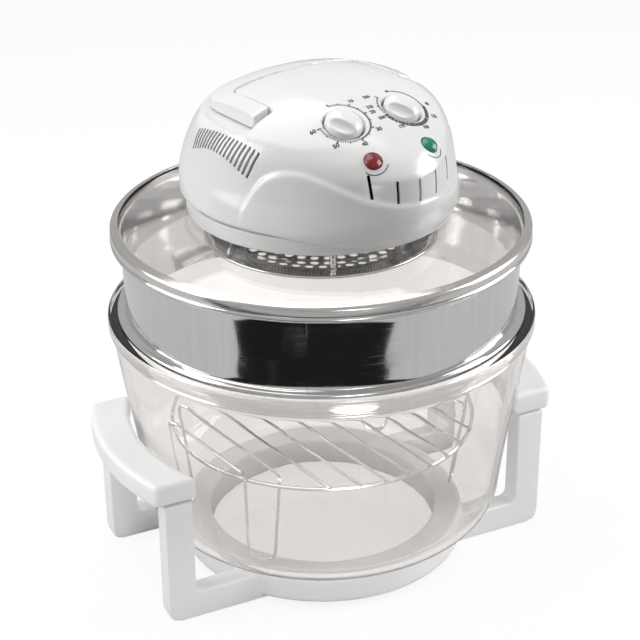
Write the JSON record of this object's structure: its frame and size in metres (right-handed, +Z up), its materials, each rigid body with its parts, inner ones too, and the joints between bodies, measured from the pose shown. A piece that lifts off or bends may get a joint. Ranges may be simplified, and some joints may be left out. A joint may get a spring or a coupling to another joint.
{
  "type": "halogen oven",
  "caption": "Halogen oven: glass bowl in a white stand with side grips, steel extension ring, wire rack, and a lift-off glass lid with a white fan, lamp and control head",
  "frame": {"origin": "on the table under the bowl's centre", "axes": "+Z up, grips along X, front of the stand towards -Y; the head is turned 11.3 degrees about Z, its front towards +X, as in the picture"},
  "size_m": [0.378, 0.34, 0.4005],
  "materials": {
    "stand_white": "satin white heat-resistant plastic",
    "bowl_glass": "clear, slightly warm grey heat-resistant glass",
    "rack_chrome": "bright plated wire",
    "ring_steel": "polished stainless sheet",
    "lid_glass": "smoked glass",
    "rim_steel": "polished stainless band",
    "seal_rubber": "silicone",
    "head_white": "gloss white",
    "guard_chrome": "plated perforated sheet",
    "lamp_quartz": "quartz tube",
    "ceramic": "unglazed ceramic",
    "plate_steel": "zinc-plated sheet",
    "core_steel": "laminated steel",
    "coil_copper": "enamelled copper winding",
    "fan_aluminium": "stamped sheet",
    "screw_steel": "plated steel",
    "red_lens": "translucent red",
    "green_lens": "translucent green",
    "bulb_glass": "small neon bulb",
    "control_case": "grey case",
    "black_plastic": "black",
    "plunger_plastic": "red"
  },
  "bodies": {
    "stand": {"grip_left": "stand_white", "grip_right": "stand_white", "grip_screw_front_left": "screw_steel", "grip_screw_front_right": "screw_steel", "grip_screw_rear_left": "screw_steel", "grip_screw_rear_right": "screw_steel", "stand_base": "stand_white"},
    "bowl": {"glass_bowl": "bowl_glass"},
    "rack": {"rack_grid": "rack_chrome", "rack_leg_loop_left": "rack_chrome", "rack_leg_loop_right": "rack_chrome"},
    "ring": {"extension_ring": "ring_steel"},
    "lid": {"bearing_strap_lower": "plate_steel", "bearing_strap_upper": "plate_steel", "chassis_plate": "plate_steel", "clamp_screw_1": "screw_steel", "clamp_screw_2": "screw_steel", "clamp_screw_3": "screw_steel", "clamp_screw_4": "screw_steel", "cover_screw_1": "screw_steel", "cover_screw_2": "screw_steel", "cover_screw_3": "screw_steel", "cover_screw_4": "screw_steel", "glass_lid": "lid_glass", "halogen_lamp": "lamp_quartz", "handle_pin_left": "screw_steel", "handle_pin_right": "screw_steel", "head_base": "head_white", "head_cover": "head_white", "head_gasket": "seal_rubber", "heat_lamp_bulb": "bulb_glass", "heat_lamp_lens": "green_lens", "heater_guard": "guard_chrome", "lamp_holder_left": "ceramic", "lamp_holder_right": "ceramic", "lid_rim_band": "rim_steel", "lower_plate": "plate_steel", "motor_coil": "coil_copper", "motor_core": "core_steel", "motor_post_1": "plate_steel", "motor_post_2": "plate_steel", "motor_post_3": "plate_steel", "motor_post_4": "plate_steel", "power_inlet": "black_plastic", "power_lamp_bulb": "bulb_glass", "power_lamp_lens": "red_lens", "safety_switch": "black_plastic", "thermostat_unit": "control_case", "timer_unit": "control_case"},
    "handle": {"carry_handle": "head_white"},
    "timer_dial": {"timer_knob": "head_white", "timer_shaft": "screw_steel"},
    "temperature_dial": {"temperature_knob": "head_white", "temperature_shaft": "screw_steel"},
    "rotor": {"rotor_shaft": "screw_steel", "convection_fan": "fan_aluminium", "cooling_fan": "fan_aluminium"},
    "plunger": {"switch_plunger": "plunger_plastic"}
  },
  "joints": [
    {"name": "bowl_lift", "type": "slide", "parent": "stand", "child": "bowl", "axis": [0, 0, 1], "range_m": [0, 0.15]},
    {"name": "rack_lift", "type": "slide", "parent": "bowl", "child": "rack", "axis": [0, 0, 1], "range_m": [0, 0.14]},
    {"name": "ring_lift", "type": "slide", "parent": "bowl", "child": "ring", "axis": [0, 0, 1], "range_m": [0, 0.12]},
    {"name": "lid_lift", "type": "slide", "parent": "ring", "child": "lid", "axis": [0, 0, 1], "range_m": [0, 0.25]},
    {"name": "handle_hinge", "type": "hinge", "parent": "lid", "child": "handle", "pos_m": [0.00215, -0.01079, 0.3865], "axis": [0.9806, 0.1959, 0], "range_deg": [0, 90]},
    {"name": "timer_turn", "type": "hinge", "parent": "lid", "child": "timer_dial", "pos_m": [-0.01394, -0.06805, 0.38737], "axis": [0.0877, -0.4391, 0.8942], "range_deg": [-300, 0]},
    {"name": "temperature_turn", "type": "hinge", "parent": "lid", "child": "temperature_dial", "pos_m": [0.03902, -0.05747, 0.38737], "axis": [0.0877, -0.4391, 0.8942], "range_deg": [-300, 0]},
    {"name": "rotor_spin", "type": "hinge", "parent": "lid", "child": "rotor", "pos_m": [0, 0, 0.33], "axis": [0, 0, 1], "continuous": true},
    {"name": "plunger_travel", "type": "slide", "parent": "lid", "child": "plunger", "axis": [0, 0, 1], "range_m": [0, 0.0031]}
  ],
  "couplings": [
    {"joint": "plunger_travel", "follows": "handle_hinge", "m_per_rad": 0.0019099}
  ]
}
